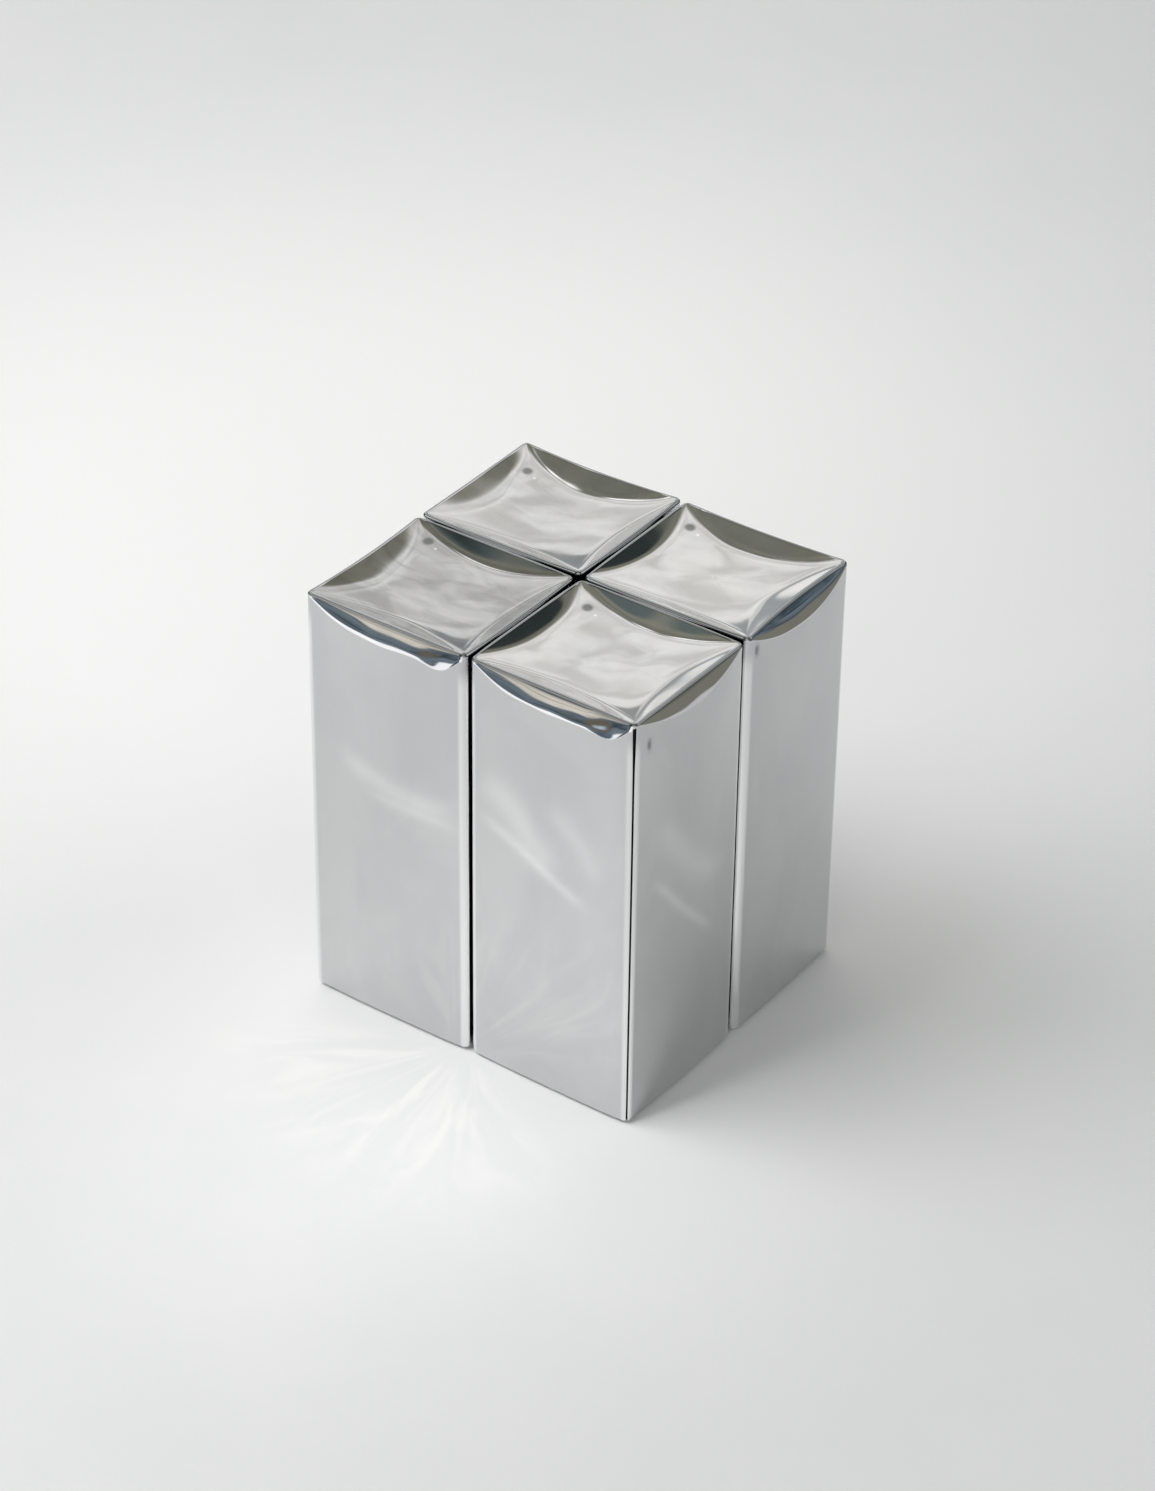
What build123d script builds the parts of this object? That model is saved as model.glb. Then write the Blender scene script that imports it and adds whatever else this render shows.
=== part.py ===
from build123d import *
import math
import os

# Four tall mirror blocks that stand two by two, each free to be lifted out of the set.
# A block is a thin polished metal sleeve, closed by a dished top panel and a screwed base plate,
# around a moulded core that carries ballast and the magnets that draw the blocks together.
# Millimetres. +Z is up, the blocks stand on z = 0, and the Z axis runs down the middle of the set.
#
# Every piece is built once, for the block whose outer sides face +X and +Y, about that block's own
# upright axis. The other three blocks are its mirror images.

# One block, over the straight rim lines at its top.
block_width = 40.0  # along X
block_depth = 37.0  # along Y
block_height = 98.0  # from the table to the rim
edge_radius = 1.4  # the four upright edges
bottom_radius = 1.0  # the bottom edge

# How far the side faces stand out at mid-width. Outer faces swell towards the rim;
# inner faces, which meet a neighbour, stay nearly flat.
outer_swell_top = 1.5
outer_swell_bottom = 0.4
inner_swell = 0.3

# How the four stand together.
block_gap = 1.0  # between the rim lines of two neighbours
left_turn = 0.0  # degrees, seen from above: each block stands slightly askew
front_turn = -0.4
right_turn = 0.6
rear_turn = 0.6

# The sheet metal skin.
sheet = 0.8
facet_slope = 16.0  # degrees off upright, the lens-shaped facet below each rim
rim_land = 0.4  # flat width on top of the rim
dish_depth = 2.8  # rim to the middle of the top
dish_wall_angle = 22.5  # degrees below level, the four walls inside the rim
panel_skirt = 7.0  # how far the top panel turns down inside the sleeve
seam_clearance = 0.05
joint_width = 0.25  # the sheet's two ends meet along the upright edge between the outer sides
joint_top = 1.2  # metal left closed between that joint and the rim

# The bottom.
pad_proud = 0.4  # how far the foot pads lift the metal off the table
pad_radius = 3.5
pad_recess = 0.7
pad_inset = 6.8  # pad centre to the two nearest rim lines
hem_width = 2.6  # the rolled hem around the base plate
base_thickness = 1.6
base_corner = 1.4
base_clearance = 0.15
lip_width = 8.4  # the sleeve's turned-in lip, measured from the rim line
screw_inset = 5.6
screw_radius = 1.25
screw_length = 6.0
screw_head_radius = 2.3
screw_head_height = 1.2
screw_hole_clearance = 0.2
thread_clearance = 0.02
socket_radius = 0.8
socket_depth = 0.8

# The core and what it carries.
core_clearance = 0.4
core_corner = 1.4
slab_thickness = 6.0
post_size = 7.0
top_slab_thickness = 3.0
top_slab_wall = 9.0
foam_thickness = 4.6  # under the middle of the dish
foam_inset = 4.0
ballast_width = 21.0
ballast_depth = 18.0
ballast_height = 38.0
ballast_corner = 1.5
ballast_chamfer = 0.8
ballast_recess = 1.0
ballast_clearance = 0.1
carrier_thickness = 3.4
carrier_height = 60.0
carrier_reach = 3.0  # how far a magnet carrier laps each core post
carrier_lift = 12.0  # carrier's lower edge above the core slab
carrier_clearance = 0.1
magnet_radius = 4.0
magnet_thickness = 2.8
magnet_spacing = 40.0
magnet_clearance = 0.05

# Heights that follow.
lip_bottom = pad_proud + base_thickness
lip_top = lip_bottom + sheet
slab_top = lip_top + slab_thickness
core_top = block_height - dish_depth - sheet - foam_thickness
top_slab_bottom = core_top - top_slab_thickness
carrier_bottom = slab_top + carrier_lift

# The rim, the dish and the facets all pass through these half sizes.
half_width = block_width / 2
half_depth = block_depth / 2
core_half_x = half_width - sheet - core_clearance
core_half_y = half_depth - sheet - core_clearance
over = 2.0  # how far a cutting solid runs past what it cuts


def outline(inset, outer_swell, z):
    """A block's plan at one height: four sides that bow out between rounded corners."""
    x, y = half_width - inset, half_depth - inset
    sides = [
        ThreePointArc((-x, -y), (0, -y - inner_swell), (x, -y)),
        ThreePointArc((x, -y), (x + outer_swell, 0), (x, y)),
        ThreePointArc((x, y), (0, y + outer_swell), (-x, y)),
        ThreePointArc((-x, y), (-x - inner_swell, 0), (-x, -y)),
    ]
    face = make_face(Curve() + sides)
    radius = max(edge_radius - inset, sheet / 2)
    return Pos(0, 0, z) * fillet(face.vertices(), radius)


def swell_at(z):
    """How far an outer face stands out at mid-width, at a height."""
    share = (z - pad_proud) / (block_height - pad_proud)
    return outer_swell_bottom + share * (outer_swell_top - outer_swell_bottom)


def frustum(inset, z_low, z_high, spread):
    """A four-sided frustum through the rim's rectangle; spread is its growth per mm of depth."""
    sections = []
    for z in (z_low, z_high):
        grow = 2 * (block_height - z) * spread
        size_x = block_width - 2 * inset + grow
        size_y = block_depth - 2 * inset + grow
        sections.append(Pos(0, 0, z) * Rectangle(size_x, size_y))
    return loft(sections, ruled=True)


def block_form(inset, z_low, z_high):
    """The closed outer form of a block, or the same form some way further in."""
    ends = [outline(inset, swell_at(z), z) for z in (z_low, z_high)]
    spread = math.tan(math.radians(facet_slope))
    facets = frustum(inset, z_low - over, z_high + over, spread)
    return loft(ends, ruled=True) & facets


def dish(drop):
    """The hollow above the top panel: a shallow bowl between four walls that fall from the rim."""
    x, y = half_width - rim_land, half_depth - rim_land
    bowl_radius = (x * x + y * y + dish_depth**2) / (2 * dish_depth)
    bowl = Pos(0, 0, block_height - dish_depth + bowl_radius) * Sphere(bowl_radius)
    fall = -1 / math.tan(math.radians(dish_wall_angle))
    walls = frustum(rim_land, block_height - 2 * dish_depth, block_height + over, fall)
    return Pos(0, 0, -drop) * (walls & bowl)


def plate(size_x, size_y, z_low, z_high, corner):
    return Pos(0, 0, z_low) * extrude(RectangleRounded(size_x, size_y, corner), z_high - z_low)


def rod(place, radius, z_low, z_high):
    x, y = place
    return Pos(x, y, (z_low + z_high) / 2) * Cylinder(radius, z_high - z_low)


def screw_places():
    x, y = half_width - screw_inset, half_depth - screw_inset
    return [(x, 0), (0, y), (-x, 0), (0, -y)]


def pad_places():
    x, y = half_width - pad_inset, half_depth - pad_inset
    return [(x, y), (-x, y), (-x, -y), (x, -y)]


def base_blank(clearance, z_low, z_high):
    margin = 2 * (hem_width + clearance)
    return plate(block_width - margin, block_depth - margin, z_low, z_high, base_corner)


def sheet_joint():
    """The fine gap between the ends of the sleeve's sheet, across the sheet's whole thickness."""
    tall = block_height - joint_top + over
    gap = Rot(0, 0, 45) * Box(4 * sheet, joint_width, tall)
    return Pos(half_width, half_depth, tall / 2 - over) * gap


def make_sleeve():
    outer = block_form(0, pad_proud, block_height)
    bottom = outer.faces().sort_by(Axis.Z)[0]
    outer = fillet(bottom.edges(), bottom_radius)
    sleeve = outer - block_form(sheet, lip_top, block_height + over) - dish(0)
    sleeve -= base_blank(0, pad_proud - over, lip_bottom)
    window_x, window_y = block_width - 2 * lip_width, block_depth - 2 * lip_width
    sleeve -= plate(window_x, window_y, lip_bottom - over, lip_top + over, base_corner)
    for place in screw_places():
        sleeve -= rod(place, screw_radius + screw_hole_clearance, lip_bottom - over, lip_top + over)
    return sleeve - sheet_joint()


def make_top_panel():
    inside = sheet + seam_clearance
    low = block_height - panel_skirt
    panel = block_form(inside, low, block_height + over) - dish(0)
    hollow = block_form(inside + sheet, low - over, block_height + over) - dish(sheet)
    return panel - hollow


def screw_head(place, clearance):
    x, y = place
    cone = Cone(screw_head_radius + clearance, screw_radius + clearance, screw_head_height)
    return Pos(x, y, pad_proud + screw_head_height / 2) * cone


def make_base_plate():
    base = base_blank(base_clearance, pad_proud, lip_bottom)
    for place in pad_places():
        base -= rod(place, pad_radius + base_clearance, pad_proud - over, pad_proud + pad_recess)
    for place in screw_places():
        base -= screw_head(place, screw_hole_clearance)
        base -= rod(place, screw_radius + screw_hole_clearance, pad_proud, lip_bottom + over)
    return base


def make_base_screws():
    screws = []
    for place in screw_places():
        screw = screw_head(place, 0) + rod(place, screw_radius, pad_proud, pad_proud + screw_length)
        x, y = place
        socket = extrude(RegularPolygon(socket_radius, 6), socket_depth)
        screws.append(screw - Pos(x, y, pad_proud) * socket)
    return screws


def make_foot_pads():
    return [rod(place, pad_radius, 0, pad_proud + pad_recess) for place in pad_places()]


def inner_sides():
    """The two sides that face a neighbour, as turns about Z of the +X side, with their half sizes."""
    return {"x": (180, core_half_x, core_half_y), "y": (-90, core_half_y, core_half_x)}


def carrier_blank(reach_out, half_across, clearance):
    """A magnet carrier's plate on the +X side, grown by a clearance."""
    across = 2 * (half_across - post_size + carrier_reach + clearance)
    thick = carrier_thickness + clearance
    tall = carrier_height + clearance
    return Pos(reach_out - thick / 2, 0, carrier_bottom + tall / 2) * Box(thick, across, tall)


def magnet_rods(reach_out, radius, thickness):
    middle = carrier_bottom + carrier_height / 2
    rods = []
    for side in (-1, 1):
        place = Pos(reach_out - thickness / 2, 0, middle + side * magnet_spacing / 2)
        rods.append(place * Rot(0, 90, 0) * Cylinder(radius, thickness))
    return rods


def make_carrier(side):
    turn, reach_out, half_across = inner_sides()[side]
    carrier = carrier_blank(reach_out, half_across, 0)
    pocket_radius = magnet_radius + magnet_clearance
    for pocket in magnet_rods(reach_out, pocket_radius, magnet_thickness + magnet_clearance):
        carrier -= pocket
    return Rot(0, 0, turn) * carrier


def make_magnets():
    magnets = []
    for turn, reach_out, _ in inner_sides().values():
        for magnet in magnet_rods(reach_out, magnet_radius, magnet_thickness):
            magnets.append(Rot(0, 0, turn) * magnet)
    return magnets


def make_core():
    size_x, size_y = 2 * core_half_x, 2 * core_half_y
    core = plate(size_x, size_y, lip_top, slab_top, core_corner)
    post = Box(post_size, post_size, top_slab_bottom - slab_top)
    for i in (-1, 1):
        for j in (-1, 1):
            x, y = i * (core_half_x - post_size / 2), j * (core_half_y - post_size / 2)
            core += Pos(x, y, (slab_top + top_slab_bottom) / 2) * post
    core += plate(size_x, size_y, top_slab_bottom, core_top, core_corner)
    window_x, window_y = size_x - 2 * top_slab_wall, size_y - 2 * top_slab_wall
    core -= plate(window_x, window_y, top_slab_bottom - over, core_top + over, core_corner)
    core -= ballast_blank(ballast_clearance)
    for place in screw_places():
        bore_top = pad_proud + screw_length + screw_hole_clearance
        core -= rod(place, screw_radius + thread_clearance, lip_top - over, bore_top)
    for turn, reach_out, half_across in inner_sides().values():
        core -= Rot(0, 0, turn) * carrier_blank(reach_out, half_across, carrier_clearance)
    return core


def ballast_blank(clearance):
    size_x, size_y = ballast_width + 2 * clearance, ballast_depth + 2 * clearance
    bottom = slab_top - ballast_recess
    return plate(size_x, size_y, bottom, bottom + ballast_height, ballast_corner + clearance)


def make_ballast():
    slug = ballast_blank(0)
    return chamfer(slug.faces().sort_by(Axis.Z)[-1].edges(), ballast_chamfer)


def make_dish_foam():
    size_x, size_y = block_width - 2 * foam_inset, block_depth - 2 * foam_inset
    foam = plate(size_x, size_y, core_top, block_height, core_corner)
    return foam - dish(sheet + seam_clearance)


def block_pieces():
    """Every piece of one block, each as a list of solids."""
    return {
        "sleeve": [make_sleeve()],
        "top_panel": [make_top_panel()],
        "base_plate": [make_base_plate()],
        "base_screws": make_base_screws(),
        "foot_pads": make_foot_pads(),
        "core": [make_core()],
        "ballast": [make_ballast()],
        "magnet_carrier_x": [make_carrier("x")],
        "magnet_carrier_y": [make_carrier("y")],
        "magnets": make_magnets(),
        "dish_foam": [make_dish_foam()],
    }


def placed(shape, side_x, side_y, turn):
    """A piece of the block that stands on the given sides of the set's middle."""
    if side_x < 0:
        shape = mirror(shape, about=Plane.YZ)
    if side_y < 0:
        shape = mirror(shape, about=Plane.XZ)
    x, y = side_x * (block_width + block_gap) / 2, side_y * (block_depth + block_gap) / 2
    return Location((x, y, 0), (0, 0, turn)) * shape


blocks = {
    "left": (-1, -1, left_turn),
    "front": (1, -1, front_turn),
    "right": (1, 1, right_turn),
    "rear": (-1, 1, rear_turn),
}

os.makedirs("parts", exist_ok=True)
for piece, shapes in block_pieces().items():
    for block, (side_x, side_y, turn) in blocks.items():
        solids = []
        for shape in shapes:
            solids.extend(placed(shape, side_x, side_y, turn).solids())
        export_step(Compound(children=solids), f"parts/{block}_{piece}.step")
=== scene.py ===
import math

import bpy
import numpy as np
from mathutils import Matrix, Vector


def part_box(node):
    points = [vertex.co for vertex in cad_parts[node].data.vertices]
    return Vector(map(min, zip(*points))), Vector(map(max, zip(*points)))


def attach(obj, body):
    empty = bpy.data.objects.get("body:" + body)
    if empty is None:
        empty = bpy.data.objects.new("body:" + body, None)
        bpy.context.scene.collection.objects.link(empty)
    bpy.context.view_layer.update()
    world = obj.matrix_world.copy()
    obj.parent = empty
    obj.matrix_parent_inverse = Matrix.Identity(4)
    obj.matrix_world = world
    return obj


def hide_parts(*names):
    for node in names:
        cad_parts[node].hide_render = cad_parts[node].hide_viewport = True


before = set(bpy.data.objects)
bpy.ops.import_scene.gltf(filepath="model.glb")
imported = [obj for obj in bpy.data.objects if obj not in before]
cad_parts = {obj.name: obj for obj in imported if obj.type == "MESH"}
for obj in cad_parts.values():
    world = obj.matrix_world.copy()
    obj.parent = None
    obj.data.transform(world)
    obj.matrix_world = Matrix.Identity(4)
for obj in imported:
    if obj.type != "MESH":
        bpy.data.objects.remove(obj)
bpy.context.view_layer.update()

# The skin of a block: the sleeve and the dished top panel, as dense smooth meshes. Millimetres.
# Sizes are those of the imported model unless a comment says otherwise. A block is made with its
# outer sides facing +X and +Y, and then mirrored, turned and set where its CAD pieces stand.
MM = 0.001
WIDTH, DEPTH, HEIGHT = 40.0, 37.0, 98.0
PAD_PROUD = 0.4
EDGE_RADIUS = 1.4
BOTTOM_RADIUS = 1.0
SWELL_TOP, SWELL_BOTTOM, SWELL_INNER = 1.5, 0.4, 0.3
SHEET = 0.8
SEAM = 0.05
RIM_LAND = 0.5  # from the rim line to the dish's walls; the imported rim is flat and 0.4 wide
DISH_DEPTH, CORNER_DEPTH = 2.8, 0.03  # of the bowl, in its middle and in its corners
BOWL_CORNER = 0.87  # how far the bowl's corners are in from the block's
WALL_ANGLE = math.radians(22.5)
PANEL_SKIRT = 7.0
HEM_WIDTH, LIP_WIDTH = 2.6, 8.4
LIP_BOTTOM, LIP_TOP = 2.0, 2.8
JOINT_WIDTH, JOINT_TOP = 0.25, 1.2
# How far each side of the joint stands back at the rim, and the depth where that ends.
JOINT_SPREAD, JOINT_SPREAD_END = 0.13, 14.0

# Side, mirror and turn of each block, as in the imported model.
BLOCKS = {
    "left": (-1, -1, 0.0),
    "front": (1, -1, -0.4),
    "right": (1, 1, 0.6),
    "rear": (-1, 1, 0.6),
}

# How far the middle of a rim bows in, on the outer sides of each block.
BOWS = {"left": (0.8, 0.0), "front": (0.0, 0.15), "right": (0.95, 0.8), "rear": (0.1, 1.2)}

# Small pressed marks, each also darkened with painted shade: block and side, place along the side
# and depth below the rim. All are alike.
DENTS = {("front", 1): (14.4, 6.2), ("right", 1): (-15.9, 3.6)}
DENT_SINK, DENT_WIDTH, DENT_LENGTH = 0.13, 0.5, 1.1

# A painted reflection of the camera, a small round dark spot near the back corner of each top, in
# plan, and a painted glint, the tiny bright speck beside it.
PAINTED_REFLECTIONS = {"left": (-33.9, -5.7), "front": (6.9, -6.7), "right": (5.9, 30.9), "rear": (-34.6, 29.5)}
GLINT_OFF = (2.6, -1.0)

# How dull the polish of each top has become.
DULLNESS = {"left": 0.9, "front": 0.1, "right": 0.0, "rear": 0.3}

# Faint painted streaks of reflected light on the faces: block, side, the place along the side and
# the depth at which each starts and those at which it ends, width, strength.
PAINTED_STREAKS = (
    ("left", 2, -14.0, 36.0, 18.0, 39.0, 2.6, 0.8),
    ("left", 2, -6.0, 41.0, 19.0, 43.0, 1.2, 0.6),
    ("front", 2, 19.0, 27.0, -4.0, 40.0, 4.0, 0.9),
    ("front", 2, 19.0, 35.5, -10.5, 47.0, 1.3, 1.0),
    ("front", 2, -2.0, 24.0, -12.0, 41.0, 2.4, 0.5),
    ("front", 1, 14.0, 27.0, -13.0, 51.0, 3.2, 0.8),
    ("front", 1, 14.0, 39.0, -10.0, 64.0, 1.0, 1.0),
)

# The facet under a rim leans back most at the rim and least where it meets the face.
FACET_TOP = math.tan(math.radians(24.0))
FACET_CURVE = 0.0288
FACET_LEAST, FACET_MOST = 0.9, 7.5  # the shallowest and deepest place where a facet can end
# How much steeper or shallower than the rest each wall of the dish is, in degrees, by side.
WALL_LEANS = (1.5, -1.5, -1.5, 1.5)
WALL_START_CORNER = 0.207  # how much further in than RIM_LAND the walls start in the corners
CREASE_SOFT, WALL_SOFT, DISH_SOFT = 0.05, 0.02, 0.16
BEAD_RADIUS = 0.59

# How darkly each ring round the rim is painted, from the dish outwards: painted dark reflections
# along the rim's bead.
RIM_DARK_REFLECTION = (0.9, 0.9, 0.45, 0.1, 0.3, 0.9, 0.9, 0.7)

# How the meshes are laid out.
INSIDE_TOP = 12.0  # the depth at which the inside's rings go over to the dish's edge
SIDE_STEPS = 60
SIDE_CROWDING = 0.86 * math.pi / 2  # points lie closer together towards the ends of a side
CORNER_STEPS, CORNER_ARC, CORNER_LEAST = 8, 2.2, 0.35  # its points, its length and smallest radius
UPPER_END = 11.0  # the depth at which the rings stop following the facet's edge
# The sleeve's last rings: the end of its bottom edge, the hem, the lip and the inside.
HEM_RINGS = 18


class Waves:
    """A smooth random field: a few plane waves with seeded directions and lengths."""

    def __init__(self, seed, height, shortest, longest, count=9):
        rng = np.random.default_rng(seed)
        angle = rng.uniform(0, 2 * math.pi, count)
        number = 2 * math.pi / rng.uniform(shortest, longest, count)
        self.kx, self.ky = number * np.cos(angle), number * np.sin(angle)
        self.phase = rng.uniform(0, 2 * math.pi, count)
        self.height = height * math.sqrt(2 / count)

    def at(self, x, y):
        total = np.zeros_like(x, dtype=float)
        for kx, ky, phase in zip(self.kx, self.ky, self.phase):
            total += np.sin(kx * x + ky * y + phase)
        return self.height * total


def smooth(share):
    """0 up to 0, 1 from 1, and smooth between them."""
    share = np.clip(share, 0, 1)
    return share * share * (3 - 2 * share)


def soft_min(a, b, width):
    """The smaller of two heights, rounded where they meet."""
    return -width * np.logaddexp(-a / width, -b / width)


def facet_reach(depth):
    """How far the facet stands out at a depth below the rim."""
    depth = np.minimum(depth, FACET_TOP / (2 * FACET_CURVE))
    return FACET_TOP * depth - FACET_CURVE * depth**2


class BlockSkin:
    """Rings of points round one block. Sides run -Y, +X, +Y, -X; the middle two are outer sides."""

    outward = np.array([(0, -1), (1, 0), (0, 1), (-1, 0)], float)
    along = np.array([(1, 0), (0, 1), (-1, 0), (0, -1)], float)

    def __init__(self, block, seed):
        self.block = block
        self.bows = (0.0, *BOWS[block], 0.0)
        self.face_waves = [Waves(seed * 10 + side, 0.05, 16, 42) for side in range(4)]
        self.fine_waves = [Waves(seed * 10 + 5 + side, 0.006, 7, 14) for side in range(4)]
        heights = (0.011, 0.011, 0.014, 0.011)
        self.facet_waves = [Waves(seed * 10 + 50 + side, heights[side], 7, 20) for side in range(4)]
        self.dish_waves = Waves(seed * 10 + 9, 0.02, 9, 24)
        self.dish_ripples = Waves(seed * 10 + 8, 0.0012, 3, 7)
        lean = math.radians(0.7)
        self.wall_waves = [Waves(seed * 10 + 70 + side, lean, 12, 30) for side in range(4)]
        side_x, side_y, _ = BLOCKS[block]
        # 1 where the places along a side run from left to right seen from outside, otherwise -1.
        self.handed = side_x * side_y

    def bow(self, side, t):
        """How far the rim line stands in from straight."""
        return self.bows[side] * (1 - t**2)

    def half(self, side, inset=0.0):
        """Half the length of a side, and its distance from the block's axis."""
        if side % 2 == 0:
            return WIDTH / 2 - inset, DEPTH / 2 - inset
        return DEPTH / 2 - inset, WIDTH / 2 - inset

    def side_places(self, side, inset, radius):
        """Places along a side, from -1 to 1, that stop where the corner's curve starts."""
        length, _ = self.half(side, inset)
        reach = 1 - radius / length
        steps = np.linspace(-1, 1, SIDE_STEPS + 1)
        return reach * np.sin(steps * SIDE_CROWDING) / math.sin(SIDE_CROWDING)

    def swell(self, side, depth):
        """How far the middle of a face stands out from its ends."""
        if side in (0, 3):
            return np.full_like(depth, SWELL_INNER)
        share = depth / (HEIGHT - PAD_PROUD)
        return SWELL_TOP + share * (SWELL_BOTTOM - SWELL_TOP)

    def arc(self, side, t, depth):
        """The plain swell of a face; side 2 stays full almost to its right end."""
        power = 2.0
        if side == 2:
            power = 2 + 3 * smooth((self.handed * t - 0.1) / 0.7)
        return self.swell(side, depth) * (1 - np.abs(t) ** power)

    def facet_share(self, side, t):
        """How far a facet leans back, as a share of the plain facet."""
        share = 1 + self.bow(side, t) / SWELL_TOP
        if side == 2:
            # The facets of the near left faces lean back less at both ends.
            place = self.handed * t
            share = share - 0.2 + 0.2 * smooth((place + 0.75) / 0.6)
            share = share - 0.28 * smooth((place - 0.4) / 0.4)
        return share

    def dent(self, side, u, depth):
        """A small pressed mark near the upper end of an edge."""
        if (self.block, side) not in DENTS:
            return 0.0
        at_u, at_depth = DENTS[self.block, side]
        away_u, away_depth = (u - at_u) / DENT_WIDTH, (depth - at_depth) / DENT_LENGTH
        return DENT_SINK * np.exp(-(away_u**2) - away_depth**2)

    def face_offset(self, side, t, depth):
        """How far a face stands out from its rim line, waves included."""
        length, _ = self.half(side)
        u = t * length
        fade = (1 - t**4) * np.clip(depth / 12, 0, 1) * np.clip((HEIGHT - 2 - depth) / 12, 0.15, 1)
        waves = self.face_waves[side].at(u, depth * 0.7) + self.fine_waves[side].at(u, depth)
        return self.arc(side, t, depth) + fade * waves - self.dent(side, u, depth)

    def crease_depth(self, side, t):
        """Depth at which the facet meets the face."""
        low, high = np.zeros_like(t), np.full_like(t, FACET_MOST)
        for _ in range(40):
            middle = (low + high) / 2
            facet = facet_reach(middle) * self.facet_share(side, t) - self.bow(side, t)
            inside = facet < self.arc(side, t, middle)
            low, high = np.where(inside, middle, low), np.where(inside, high, middle)
        return (low + high) / 2

    def outer_offset(self, side, t, depth):
        """How far the outer surface, facet or face, stands out from its straight rim line."""
        length, _ = self.half(side)
        fade = np.clip(depth / 3, 0, 1) * (1 - t**4)
        ripple = self.facet_waves[side].at(t * length, depth * 2.0) * fade
        facet = facet_reach(depth) * self.facet_share(side, t) - self.bow(side, t) + ripple
        return soft_min(self.face_offset(side, t, depth), facet, CREASE_SOFT)

    def joint_places(self, depth):
        """Places across the outer corner's curve and how deep in the joint each lies."""
        half_width = JOINT_WIDTH / 2 + JOINT_SPREAD * (1 - float(smooth(depth / JOINT_SPREAD_END)))
        away = np.array([0.75, 0.45, half_width + 0.16, half_width + 0.06, half_width + 0.015])
        away = np.append(away, [half_width, 0.9 * half_width]) / CORNER_ARC
        sink = np.array([0, 0, 0, 0.025, 0.09, 0.35, 0.7])
        places = np.concatenate([0.5 - away, [0.5], 0.5 + away[::-1]])
        return places, np.concatenate([sink, [0.72], sink[::-1]])

    def ring(self, inset, depth_of, offset_of, radius, joint=None):
        """A closed ring: for every side its points, then the curve round the corner after it.

        joint is None for a ring with plain corners, and otherwise how open the joint in the
        outer corner is, from 0 to 1.
        """
        radius = max(radius, CORNER_LEAST)
        ends, rows = [], []
        for side in range(4):
            t = self.side_places(side, inset, radius)
            length, distance = self.half(side, inset)
            depth = depth_of(side, t)
            offset = offset_of(side, t, depth)
            flat = self.along[side] * (t * length)[:, None]
            flat = flat + self.outward[side] * (distance + offset)[:, None]
            rows.append(np.column_stack([flat, HEIGHT - depth]))
            first, last = flat[1] - flat[0], flat[-1] - flat[-2]
            ends.append((first / np.linalg.norm(first), last / np.linalg.norm(last)))
        points = []
        for side in range(4):
            after = (side + 1) % 4
            start, stop = rows[side][-1], rows[after][0]
            leave, arrive = ends[side][1], ends[after][0]
            turn = math.acos(float(np.clip(leave @ arrive, -1, 1)))
            chord = np.linalg.norm(stop[:2] - start[:2])
            handle = chord / (2 * math.sin(turn / 2)) * 4 / 3 * math.tan(turn / 4)
            q = np.linspace(0, 1, CORNER_STEPS + 1)[1:-1]
            sink = np.zeros_like(q)
            if side == 1 and joint is not None:
                q, sink = self.joint_places(HEIGHT - start[2])
                sink = sink * joint
            q, sink = q[:, None], sink[:, None]
            one = start[:2] + leave * handle
            two = stop[:2] - arrive * handle
            flat = (1 - q) ** 3 * start[:2] + 3 * (1 - q) ** 2 * q * one
            flat = flat + 3 * (1 - q) * q**2 * two + q**3 * stop[:2]
            flat = flat - sink * math.sqrt(0.5)
            z = (1 - q) * start[2] + q * stop[2]
            points.append(rows[side])
            points.append(np.hstack([flat, z]))
        return np.vstack(points)

    def bead_tilt(self, side, t):
        """How far the outer surface leans back where the bead along the rim begins."""
        return np.arctan(FACET_TOP) * smooth(self.crease_depth(side, t) / 0.5)

    def bead_ring(self, share):
        """A ring on the rounded rim, from share 0 on the outside to 1 on the dish wall."""
        r = BEAD_RADIUS
        offsets = {}

        def depth_of(side, t):
            tilt = self.bead_tilt(side, t)
            angle = (math.pi - tilt) * (1 - share) + (math.pi / 2 - WALL_ANGLE) * share
            centre = r * (1 - np.sin(tilt)) / np.cos(tilt)
            offsets[side] = -(centre + r * np.cos(angle)) - self.bow(side, t)
            return r - r * np.sin(angle)

        return self.ring(0, depth_of, lambda side, t, depth: offsets[side], EDGE_RADIUS, 0.0)

    def outer_rings(self):
        """Rings from the rim's bead down the outside to the bottom edge."""
        rings = [self.bead_ring(share) for share in np.linspace(1, 0, len(RIM_DARK_REFLECTION) + 1)]

        def outer_ring(depth_of, joint=1.0):
            rings.append(self.ring(0, depth_of, self.outer_offset, EDGE_RADIUS, joint))

        def facet_ring(share):
            def depth_of(side, t):
                crease = np.maximum(self.crease_depth(side, t), FACET_LEAST)
                begin = BEAD_RADIUS * (1 - np.sin(self.bead_tilt(side, t))) + 0.02
                return begin + (crease - begin) * share

            outer_ring(depth_of, 1.0 if share > 0.6 else 0.0)

        def upper_ring(share):
            def depth_of(side, t):
                crease = np.maximum(self.crease_depth(side, t), FACET_LEAST)
                return crease + (UPPER_END - crease) * share

            outer_ring(depth_of)

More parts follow.
